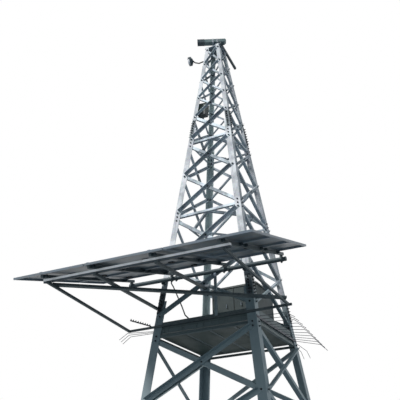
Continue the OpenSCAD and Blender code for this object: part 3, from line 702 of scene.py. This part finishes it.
def make_finishes():
    """All the finishes by short name."""
    zinc_group()
    grime_and_shade_group()
    c = settings("colours")
    # painted shade: the legs, bracing and plates darken below 6.35 m, the line of the solar array's shadow
    shaded = {"bottom_tone": c.array_painted_shade, "toned_below": 6.35}
    leg = {"patch": 2.4, "runs": 0.75, "metallic": 0.05, **shaded}
    radio_middle = (low("radio_box").z + high("radio_box").z) / 2
    return {
        "leg": zinc("Leg zinc", c.leg_zinc, faded(c.leg_zinc, 0.80), **leg),
        # painted light: the rear-left leg takes a paler copy of the leg zinc
        "back": zinc("Back leg zinc", c.back_leg_painted_light, faded(c.back_leg_painted_light, 0.80), **leg),
        "brace": zinc("Brace zinc", c.brace_zinc, faded(c.brace_zinc, 0.55), patch=2.2, **shaded),
        "plate": zinc("Dull zinc", c.dull_zinc, faded(c.dull_zinc, 0.55), patch=3.0, **shaded),
        "splice": zinc("Plate zinc", c.plate_zinc, c.bolt_zinc, c.plate_zinc,
                       patch=7.0, runs=0.4, metallic=0.2),
        "bolt": zinc("Bolt zinc", c.bolt_zinc, faded(c.bolt_zinc, 0.55), c.array_painted_shade,
                     patch=9.0, runs=0.2, metallic=0.5),
        "radio": zinc("Radio paint", c.radio_paint, faded(c.radio_paint, 0.70), c.bolt_zinc,
                      toned_below=radio_middle, patch=6.0, runs=0.3, metallic=0.0),
        "platform": paint("Platform steel", c.platform_steel, (0.10, 0.12, 0.11),
                          share=0.6, rusty=0.5, scale=2.4, metallic=0.2),
        # painted light: lighter copy of the platform steel round the platform's edge
        "edge": paint("Edge steel painted lighter", c.edge_painted_light_steel, (0.16, 0.19, 0.19),
                      share=0.4, rusty=0.4, scale=2.4, metallic=0.1),
        # painted shade: the doors take a darker copy of the cabinet paint
        "door": paint("Door paint with painted shade", c.door_painted_shade, (0.10, 0.12, 0.12), share=0.5, rusty=0.1, scale=2.0),
        "cabinet": paint("Cabinet paint", c.cabinet_paint, (0.24, 0.25, 0.23),
                         share=0.5, rusty=0.15, scale=2.0),
        "fitting": paint("Fitting coat", c.array_steel, (0.16, 0.17, 0.16),
                         share=0.4, rusty=0.4, scale=6.0, metallic=0.3),
        "array": paint("Array steel", c.array_steel, (0.17, 0.19, 0.19),
                       share=0.5, rusty=0.35, scale=3.0, metallic=0.3),
        "guard": paint("Guard steel", c.guard_steel, (0.14, 0.15, 0.16),
                       share=0.5, rusty=0.5, scale=8.0, metallic=0.3),
        "head": paint("Head coating", c.head_coat, (0.34, 0.40, 0.39),
                      share=0.35, rusty=0.2, scale=6.0, metallic=0.2),
        "dark": paint("Dark coating", c.dark_steel, (0.12, 0.14, 0.15),
                      share=0.4, rusty=0.15, scale=7.0, metallic=0.1),
        "plastic": paint("Black plastic", c.plastic, (0.08, 0.08, 0.078), share=0.4, rusty=0.0, scale=9.0),
        "lens": paint("Frosted lens", c.lens, (0.70, 0.70, 0.72), share=0.3, rusty=0.0, scale=9.0),
        "alloy": paint("Dull aluminium", c.aluminium, c.alloy_dust,
                       share=0.4, rusty=0.05, scale=4.0, metallic=0.3),
        "rail": rail_finish(),
        "module": module_finish(),
    }


FINISH = {}
FINISH_RULES = (
    # painted light: the rear-left leg gets the paler copy of the leg zinc
    ("back", "leg_rear_left"),
    ("leg", "leg_", "strut_gusset"),
    ("brace", "front_brac", "right_brac", "rear_brac", "left_brac", "lower_ring", "upper_ring"),
    # painted light: the platform's edge parts take the lighter copy of the platform steel
    ("edge", "deck_ring", "platform_beams", "platform_toe"),
    ("plate", "foot_plates", "cap_plate", "head_post", "array_post"),
    ("splice", "joint_plates"),
    ("platform", "platform"),
    # painted shade: the doors get the darker copy of the cabinet paint
    ("door", "cabinet_doors"),
    ("cabinet", "cabinet"),
    ("module", "module"),
    ("rail", "array_front_rail"),
    ("dark", "array_rear_tube"),
    ("array", "array"),
    ("guard", "guard"),
    ("head", "head_beam"),
    ("plastic", "lamp_arm"),
    ("dark", "head_block", "head_boom", "lamp"),
    ("radio", "radio"),
)


def finish_of(name):
    """Short name of the finish of a steel part: that of the first rule that knows its name's start."""
    for short, *starts in FINISH_RULES:
        if name.startswith(tuple(starts)):
            return short
    raise ValueError(f"no finish for {name}")


class TOWER_OT_finish_frame(bpy.types.Operator):
    """Give every steel part its finish"""

    bl_idname = "tower.finish_frame"
    bl_label = "Finish the frame"

    def execute(self, context):
        FINISH.update(make_finishes())
        for name, part in NODES.items():
            part.material_slots[0].material = FINISH[finish_of(name)]
        return {"FINISHED"}


# ---- bolts


def bolt(across, head, stub=0, washer=0.004):
    """A hexagon nut or head on a washer, with its thread end, pointing along Z from 0."""
    piece = drum(across / math.sqrt(3), head, sides=6, place=(0, 0, washer + head / 2))
    edit(piece)
    pick_faces(piece, facing("z"))
    bpy.ops.mesh.inset(thickness=across * 0.10)
    bpy.ops.transform.translate(value=(0, 0, head * 0.10))
    if stub:
        bpy.ops.mesh.inset(thickness=across * 0.16)
        bpy.ops.mesh.extrude_region_move(TRANSFORM_OT_translate={"value": (0, 0, stub)})
    bpy.ops.mesh.select_all(action="DESELECT")
    bpy.ops.mesh.primitive_cylinder_add(
        vertices=10, radius=across * 0.72, depth=washer, location=(0, 0, washer / 2))
    done()
    return piece


def leg_gauge(z):
    """Distance of the bolt line from the face's middle, at height z."""
    return half_width(z) - settings("sizes").leg_widths[leg_part(z)] / 2


def crossing(z0, z1):
    """Height where the two bars of a panel cross."""
    a, b = leg_gauge(z0), leg_gauge(z1)
    return z0 + (z1 - z0) * a / (a + b)


class TOWER_OT_joint_bolts(bpy.types.Operator):
    """Bolt the plates over the leg joints"""

    bl_idname = "tower.joint_bolts"
    bl_label = "Leg joint bolts"

    def execute(self, context):
        s, b = settings("sizes"), settings("bolts")
        for name, joint, gauge in (("lower", s.low_joint, 0.073), ("upper", s.high_joint, 0.053)):
            places = []
            for k in range(4):
                for side in (-1, 1):
                    for row in range(b.splice_rows):
                        z = joint + (row - (b.splice_rows - 1) / 2) * b.splice_pitch
                        u = side * (half_width(z) - gauge)
                        turn = 0.7 * row + k  # nuts don't line up
                        places.append(on_face(k) @ at(u, z * stretch(), s.plate_thickness) @ spin(turn, "Z"))
            made = copies(bolt(b.across, b.head, b.stub), places)
            fit(made, f"joint_bolts_{name}", "bolt")
        return {"FINISHED"}


def bracing_places():
    """Places of the bracing's bolts on one face, as (across, up, out): outside, and inside."""
    s = settings("sizes")
    outside, inside = [], []
    hair = 0.01  # keeps a height within the lower legs
    for levels in (s.lower_levels, s.middle_levels, s.ring_levels, s.upper_levels):
        levels = list(levels)
        last = len(levels) - 1
        for i, z in enumerate(levels):
            gauge_z = min(z, s.low_joint - hair) if levels[-1] < s.low_joint else z
            depth = s.leg_thicknesses[leg_part(z)]
            for side, bare_end, lone_end in ((-1, last, 0), (1, 0, last)):
                u, v = side * leg_gauge(gauge_z), z * stretch()
                outside.append((u, v, 0 if i == bare_end else s.brace_thickness))
                inside.append((u, v, -depth if i == lone_end else -depth - s.brace_thickness))
        for z0, z1 in zip(levels, levels[1:]):
            v = crossing(z0, z1) * stretch()
            outside.append((0, v, s.brace_thickness))
            inside.append((0, v, -s.leg_thicknesses[leg_part(z0)] - s.brace_thickness))
    for z in s.ring_heights:
        for side in (-1, 1):
            u, v = side * leg_gauge(z), z * stretch()
            outside.append((u, v, 0))
            inside.append((u, v, -s.leg_thicknesses[leg_part(z)] - s.brace_thickness))
    return outside, inside


class TOWER_OT_bracing_bolts(bpy.types.Operator):
    """Bolt the bracing to the legs and where its bars cross"""

    bl_idname = "tower.bracing_bolts"
    bl_label = "Bracing bolts"

    def execute(self, context):
        s, b = settings("sizes"), settings("bolts")
        open_from, open_to = s.low_joint - 0.6, s.middle_levels[1] - 0.1
        across, low_head, stub = b.across * 0.9, b.head * 0.8, b.stub * 0.6  # a size under the joints' bolts
        turn = 0.9  # from one nut to the next
        for k, name in enumerate(("front", "right", "rear", "left")):
            outside, inside = [
                [p for p in side if name != "left" or not open_from < p[1] / stretch() < open_to]
                for side in bracing_places()]
            nuts = copies(bolt(across, b.head, stub), [
                on_face(k) @ at(*p) @ spin(turn * i, "Z") for i, p in enumerate(outside)])
            heads = copies(bolt(across, low_head), [
                on_face(k) @ at(*p) @ spin(HALF_TURN, "X") for p in inside])
            fit(nuts + heads, f"bracing_bolts_{name}", "bolt")
        return {"FINISHED"}


class TOWER_OT_foot_anchors(bpy.types.Operator):
    """Set a double nut on each anchor bolt of the feet"""

    bl_idname = "tower.foot_anchors"
    bl_label = "Foot anchors"

    def execute(self, context):
        top, reach = high("foot_plates").z, high("foot_plates").x
        radius, across, lock_height, lock_turn = 0.0135, 0.046, 0.030, 0.4
        rows = [reach - inset for inset in (0.055, 0.385)]
        corners = [(x * sx, y * sy) for x in rows for y in rows for sx in (-1, 1) for sy in (-1, 1)]
        rods = copies(drum(radius, top - 0.002, place=(0, 0, top / 2)), [at(x, y, 0) for x, y in corners])
        nuts = copies(bolt(across, head=0.022, washer=0.006), [at(x, y, top) for x, y in corners])
        locks = copies(bolt(across, head=0.018, stub=0.04, washer=0.002), [
            at(x, y, top + lock_height) @ spin(lock_turn, "Z") for x, y in corners])
        fit(rods + nuts + locks, "foot_anchors", "bolt")
        return {"FINISHED"}


# ---- solar array


class TOWER_OT_array_fittings(bpy.types.Operator):
    """Add junction boxes, clamps and cleats to the solar array"""

    bl_idname = "tower.array_fittings"
    bl_label = "Array fittings"

    def execute(self, context):
        self.junction_boxes()
        self.clamps()
        self.cleats()
        return {"FINISHED"}

    def junction_boxes(self):
        """A box with two glands on the back of each module, near its upper edge."""
        a = settings("array")
        pitch_x, pitch_y = module_pitch()
        box = shape(block((0.115, 0.090, 0.022), (0, 0, -0.011)), facing("-z"),
                    inset=0.012, extrude=(0, 0, -0.005))
        bevel(box, 0.003, 2)
        glands = [drum(0.006, 0.05, sides=8, place=(x, -0.068, -0.012), turn=ALONG_Y)
                  for x in (-0.030, 0.030)]
        box = join([box, *glands], "junction_box")
        up, under = a.module_width - 0.16, a.module_depth - a.back_inset
        places = [on_array() @ at(i * pitch_x, row * pitch_y + up, under)
                  for i in (-1, 0, 1) for row in range(3)]
        fit(copies(box, places), "junction_boxes", "plastic")

    def clamps(self):
        """A clamp with its bolt wherever a rafter crosses a gap between modules or an edge of the array."""
        a = settings("array")
        pitch_y = module_pitch()[1]
        plate = shape(block((0.060, 0.052, 0.006), (0, 0, 0.003)), facing("z"),
                      inset=0.010, extrude=(0, 0, 0.006))
        clamp = join([bevel(plate, 0.0015), bolt(0.016, head=0.010, washer=0.002)], "clamp")
        edge_inset = 0.034
        rows = [row * pitch_y - a.module_gap / 2 for row in (1, 2)]
        rows += [edge_inset, 3 * pitch_y - a.module_gap - edge_inset]
        places = [on_array() @ at(x, y, a.module_depth) for x in a.rafter_places for y in rows]
        fit(copies(clamp, places), "module_clamps", "alloy")

    def cleats(self):
        """A cleat at each module's ends on each rafter."""
        pitch_y = module_pitch()[1]
        cleat = shape(block((0.050, 0.045, 0.055), (0.052, 0, -0.0275)), facing("x"),
                      inset=0.006, extrude=(-0.042, 0, 0))
        bevel(cleat, 0.001)
        inset, top_inset = 0.12, 0.16
        rows = (inset, pitch_y - inset, pitch_y + inset, 2 * pitch_y - inset, 2 * pitch_y + inset,
                3 * pitch_y - top_inset)
        places = [on_array() @ at(x, y, 0) for x in settings("array").rafter_places for y in rows]
        fit(copies(cleat, places), "rafter_cleats", "dark")


class TOWER_OT_tube_straps(bpy.types.Operator):
    """Strap the rear tube to the rafters and legs, and close its ends"""

    bl_idname = "tower.tube_straps"
    bl_label = "Tube straps"

    def execute(self, context):
        a = settings("array")
        lo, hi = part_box("array_rear_tube")
        radius = (hi.y - lo.y) / 2
        ear_place = -radius - 0.020
        thickness = 0.012

        def on_tube(x):
            drop = (x - lo.x) * math.tan(a.tube_fall)
            return at(x, (lo.y + hi.y) / 2, hi.z - radius - drop) @ spin(a.tube_fall, "Y")

        ring = hollow(drum(radius + thickness, 0.040, sides=24, turn=ALONG_X), "x", wall=0.004)
        ear = bevel(block((0.040, thickness, 0.022), (0, 0, ear_place)), 0.003)
        pin = settle(bolt(0.018, head=0.010, stub=0.008, washer=0.002),
                     at(0, thickness / 2, ear_place) @ spin(-QUARTER_TURN, "X"))
        strap = join([ring, ear, pin], "strap")
        spots = [*a.rafter_places, *(x + 0.12 for x in a.rafter_places[1:3])]
        fit(copies(strap, [on_tube(x) for x in spots]), "tube_straps", "fitting")

        cap = shape(drum(radius - 0.001, 0.006, sides=24, turn=ALONG_X), facing("x", both=True),
                    inset=0.008)
        ends = [on_tube(lo.x + 0.0045), on_tube(hi.x - 0.008)]
        fit(copies(cap, ends), "tube_caps", "plastic")
        return {"FINISHED"}


# ---- platform and cabinet


class TOWER_OT_platform_fittings(bpy.types.Operator):
    """Add clips, panels and bolts to the platform"""

    bl_idname = "tower.platform_fittings"
    bl_label = "Platform fittings"

    def execute(self, context):
        lo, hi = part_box("platform_beams")
        clip = block((0.045, 0.012, 0.070), (0, -0.006, 0))
        shape(clip, facing("z"), extrude=(0, 0, 0.008))
        shape(clip, lambda centre, normal: normal.y > 0.9 and centre.z > 0.036, extrude=(0, 0.030, 0))
        bevel(clip, 0.0015)
        clip_z = low("platform_deck").z - 0.047
        places = [spin(turn, "Z") @ at(hi.x * share, lo.y, clip_z)
                  for turn in (0, QUARTER_TURN, HALF_TURN)
                  for share in (-0.72, -0.45, -0.15, 0.15, 0.45, 0.72)]
        fit(copies(clip, places), "deck_clips", "edge")

        bays, beam_width, play = 4, 0.060, 0.010
        inner = hi.x - beam_width
        bay = (2 * inner - beam_width * (bays - 1)) / bays
        panel = block((bay - play, 2 * inner - play, 0.003), (0, 0, 0.004))
        shape(panel, facing("-z"), inset=0.030, move=(0, 0, -0.002))
        bevel(panel, 0.0008)
        places = [at(-inner + (bay + beam_width) * i + bay / 2, 0, lo.z) for i in range(bays)]
        fit(copies(panel, places), "soffit_panels", "platform")

        heads = []
        for share in (-0.8, -0.4, 0.0, 0.4, 0.8):
            for z in (lo.z + 0.03, lo.z + 0.07):
                heads.append(at(lo.x * share, lo.y, z) @ spin(QUARTER_TURN, "X"))
                heads.append(at(hi.x, hi.y * share, z) @ spin(QUARTER_TURN, "Y"))
                heads.append(at(hi.x * share, hi.y, z) @ spin(-QUARTER_TURN, "X"))
                heads.append(at(lo.x, lo.y * share, z) @ spin(-QUARTER_TURN, "Y"))
        fit(copies(bolt(0.024, head=0.012), heads), "platform_bolts", "edge")
        return {"FINISHED"}


class TOWER_OT_cabinet_fittings(bpy.types.Operator):
    """Add handles, hinges and lifting eyes to the cabinet"""

    bl_idname = "tower.cabinet_fittings"
    bl_label = "Cabinet fittings"

    def execute(self, context):
        lo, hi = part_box("cabinet_doors")
        middle_x, middle_z = (lo.x + hi.x) / 2, (lo.z + hi.z) / 2
        grip = shape(drum(0.008, 0.080, sides=10, place=(0, -0.030, 0)), facing("z", both=True),
                     inset=0.003)
        feet = copies(drum(0.007, 0.030, sides=10, place=(0, -0.015, 0), turn=ALONG_Y),
                      [at(0, 0, z) for z in (0.030, -0.030)])
        aside, rise = 0.183, 0.08
        places = [at(middle_x + x, lo.y, middle_z + rise) for x in (-aside, aside)]
        fit(copies(join([grip, *feet], "grip"), places), "door_handles", "alloy")

        hinge = shape(drum(0.011, 0.110, sides=10), facing("z", both=True), inset=0.003)
        leaf = bevel(block((0.050, 0.004, 0.090), (0.022, 0.004, 0)), 0.001)
        end_gap, edge_gap, out = 0.14, 0.012, 0.006
        heights = (lo.z + end_gap, middle_z, hi.z - end_gap)
        places = [at(lo.x + edge_gap, lo.y - out, z) for z in heights]
        places += [at(hi.x - edge_gap, lo.y - out, z) @ spin(HALF_TURN, "Y") for z in heights]
        fit(copies(join([hinge, leaf], "hinge"), places), "door_hinges", "fitting")

        eye = hollow(drum(0.026, 0.010, sides=16, place=(0, 0, 0.030), turn=ALONG_Y), "y", wall=0.008,
                     inset=0.012, offset=0)
        stem = bevel(drum(0.012, 0.014, place=(0, 0, 0.006)), 0.002)
        lo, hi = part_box("cabinet_roof")
        corner_gap = 0.08
        places = [at(x, y, hi.z) for x in (lo.x + corner_gap, hi.x - corner_gap)
                  for y in (lo.y + corner_gap, hi.y - corner_gap)]
        fit(copies(join([eye, stem], "eye"), places), "lifting_eyes", "fitting")
        return {"FINISHED"}


# ---- head and lamp


class TOWER_OT_head_fittings(bpy.types.Operator):
    """Strap the beam at the top, and bolt cleats to the cap plate's front edge"""

    bl_idname = "tower.head_fittings"
    bl_label = "Head fittings"

    def execute(self, context):
        lo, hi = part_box("head_beam")
        beam_turn = math.radians(25)
        strap = bevel(hollow(block((0.050, 0.177, 0.113)), "x", wall=0.004), 0.0015)
        nut = settle(bolt(0.024, head=0.012, stub=0.012), at(0, -0.0875, 0) @ spin(QUARTER_TURN, "X"))
        places = [at(*(lo + hi) / 2) @ spin(beam_turn, "Z") @ at(x, 0, 0) for x in (-0.07, 0.06)]
        fit(copies(join([strap, nut], "strap"), places), "beam_straps", "leg")

        top, thick = high("cap_plate"), high("cap_plate").z - low("cap_plate").z
        cleat = block((0.095, 0.006, 0.120), (0, 0, -0.030))
        edit(cleat)
        bpy.ops.mesh.select_all(action="SELECT")
        bpy.ops.mesh.bisect(plane_co=(0, 0, -thick), plane_no=(0, 0, 1))
        done()
        shape(cleat, lambda centre, normal: normal.y > 0.9 and centre.z < -thick, extrude=(0, 0.018, 0))
        bevel(cleat, 0.0015)
        head = settle(bolt(0.024, head=0.012), at(0, -0.003, -0.055) @ spin(QUARTER_TURN, "X"))
        places = [at(x, -top.y - 0.003, top.z) for x in (-0.160, 0.160)]
        fit(copies(join([cleat, head], "cleat"), places), "head_brackets", "leg")
        return {"FINISHED"}


class TOWER_OT_lamp_lens(bpy.types.Operator):
    """Close the lamp with a domed lens"""

    bl_idname = "tower.lamp_lens"
    bl_label = "Lamp lens"

    def execute(self, context):
        axis = Vector((-0.75, -0.45, -0.3)).normalized()
        radius, cut, sunk = 0.118, 0.070, 0.012
        lo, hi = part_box("lamp_body")
        centre = (lo + hi) / 2
        lens = add(bpy.ops.mesh.primitive_uv_sphere_add, segments=28, ring_count=14, radius=radius)
        edit(lens)
        bpy.ops.mesh.select_all(action="SELECT")
        bpy.ops.mesh.bisect(plane_co=(0, 0, cut), plane_no=(0, 0, 1), clear_inner=True, use_fill=True)
        done()
        turn = axis.to_track_quat("Z", "Y").to_matrix().to_4x4()
        reach = max((Vector(v.co) - centre).dot(axis) for v in NODES["lamp_body"].data.vertices)
        settle(lens, at(*(centre + axis * (reach - sunk))) @ turn @ at(0, 0, -cut))
        activate(lens)
        bpy.ops.object.shade_smooth_by_angle(angle=math.radians(40))
        fit([lens], "lamp_lens", "lens")
        return {"FINISHED"}


# ---- stage


def lay_floor():
    """A wide floor, which looks darker to the light that it throws up than to the camera."""
    s = settings("studio")
    floor = add(bpy.ops.mesh.primitive_plane_add, size=90, location=(0, 0, cad_box[0].z))
    floor.name = "floor"
    cover, tree, shader = new_material("Floor")
    speckle = noise(tree, object_place(tree), Scale=3.0, Detail=6.0)
    tone = mix(tree, speckle, s.floor_colour, faded(s.floor_colour, 0.96))
    rays = node(tree, "LightPath").outputs
    surface(tree, shader, Base_Color=mix(tree, rays["Is Diffuse Ray"], tone, s.floor_bounce), Roughness=0.85)
    floor.data.materials.append(cover)


def hang_world():
    """Soft light from all round, with plain white for the camera and for reflections."""
    s = settings("studio")
    world = bpy.data.worlds.new("Studio")
    bpy.context.scene.world = world
    world.use_nodes = True
    tree = world.node_tree
    tree.nodes.clear()
    rays = node(tree, "LightPath").outputs
    seen = maths(tree, "MAXIMUM", rays["Is Glossy Ray"], rays["Is Transmission Ray"])
    seen = maths(tree, "MAXIMUM", rays["Is Camera Ray"], seen)
    soft = node(tree, "Background", Color=s.fill_colour, Strength=s.fill_strength).outputs[0]
    white = node(tree, "Background", Color=(1, 1, 1), Strength=1.0).outputs[0]
    both = node(tree, "MixShader")
    for socket, value in zip(both.inputs, (seen, soft, white)):
        feed(tree, socket, value)
    node(tree, "OutputWorld", Surface=both.outputs[0])


def set_sun():
    """The key light, from the front left and above."""
    s = settings("studio")
    sun = add(bpy.ops.object.light_add, type="SUN", location=(-12, -16, 22))
    sun.data.energy = s.key_strength
    sun.data.angle = s.key_size
    sun.data.color = s.key_colour
    sun.rotation_mode = "QUATERNION"
    sun.rotation_quaternion = Vector(s.key_direction).to_track_quat("-Z", "Y")


def set_camera():
    """The camera, low in front of the tower and to its right, looking up."""
    s = settings("studio")
    camera = add(bpy.ops.object.camera_add, location=s.camera_place)
    camera.data.lens = s.camera_lens
    camera.data.sensor_width = 36
    camera.data.clip_end = 300
    turned = spin(s.camera_yaw, "Z") @ spin(QUARTER_TURN + s.camera_pitch, "X") @ spin(s.camera_roll, "Z")
    camera.rotation_mode = "QUATERNION"
    camera.rotation_quaternion = turned.to_quaternion()
    bpy.context.scene.camera = camera


class TOWER_OT_stage(bpy.types.Operator):
    """Lay the floor and set the lights and the camera"""

    bl_idname = "tower.stage"
    bl_label = "Stage"

    def execute(self, context):
        lay_floor()
        hang_world()
        set_sun()
        set_camera()
        bpy.context.scene.view_settings.view_transform = "Standard"
        return {"FINISHED"}


# ---- add-on


class TOWER_PT_panel(bpy.types.Panel):
    """Sidebar panel with the tower's settings and steps"""

    bl_idname = "TOWER_PT_panel"
    bl_label = "Telecom tower"
    bl_space_type = "VIEW_3D"
    bl_region_type = "UI"
    bl_category = "Tower"

    def draw(self, context):
        for step in STEPS:
            self.layout.operator(step.bl_idname)
        for name in GROUPS:
            box = self.layout.box()
            box.label(text=name.capitalize())
            for prop in GROUPS[name].__annotations__:
                box.prop(settings(name), prop)


GROUPS = {
    "sizes": TowerSizes,
    "bolts": BoltSizes,
    "array": ArraySizes,
    "colours": FinishColours,
    "studio": StudioSettings,
}
STEPS = (
    TOWER_OT_finish_frame,
    TOWER_OT_joint_bolts,
    TOWER_OT_bracing_bolts,
    TOWER_OT_foot_anchors,
    TOWER_OT_array_fittings,
    TOWER_OT_tube_straps,
    TOWER_OT_platform_fittings,
    TOWER_OT_cabinet_fittings,
    TOWER_OT_head_fittings,
    TOWER_OT_lamp_lens,
    TOWER_OT_stage,
)


def register():
    """Registers the settings, the steps and the panel."""
    for group in GROUPS.values():
        bpy.utils.register_class(group)
    for name, group in GROUPS.items():
        setattr(bpy.types.Scene, "tower_" + name, PointerProperty(type=group))
    for step in STEPS:
        bpy.utils.register_class(step)
    bpy.utils.register_class(TOWER_PT_panel)


def unregister():
    """Takes all of it out again."""
    bpy.utils.unregister_class(TOWER_PT_panel)
    for step in reversed(STEPS):
        bpy.utils.unregister_class(step)
    for name, group in GROUPS.items():
        delattr(bpy.types.Scene, "tower_" + name)
        bpy.utils.unregister_class(group)


def main():
    """Runs every step."""
    register()
    for step in STEPS:
        family, action = step.bl_idname.split(".")
        getattr(getattr(bpy.ops, family), action)()
    deselect()


if __name__ == "__main__":
    main()
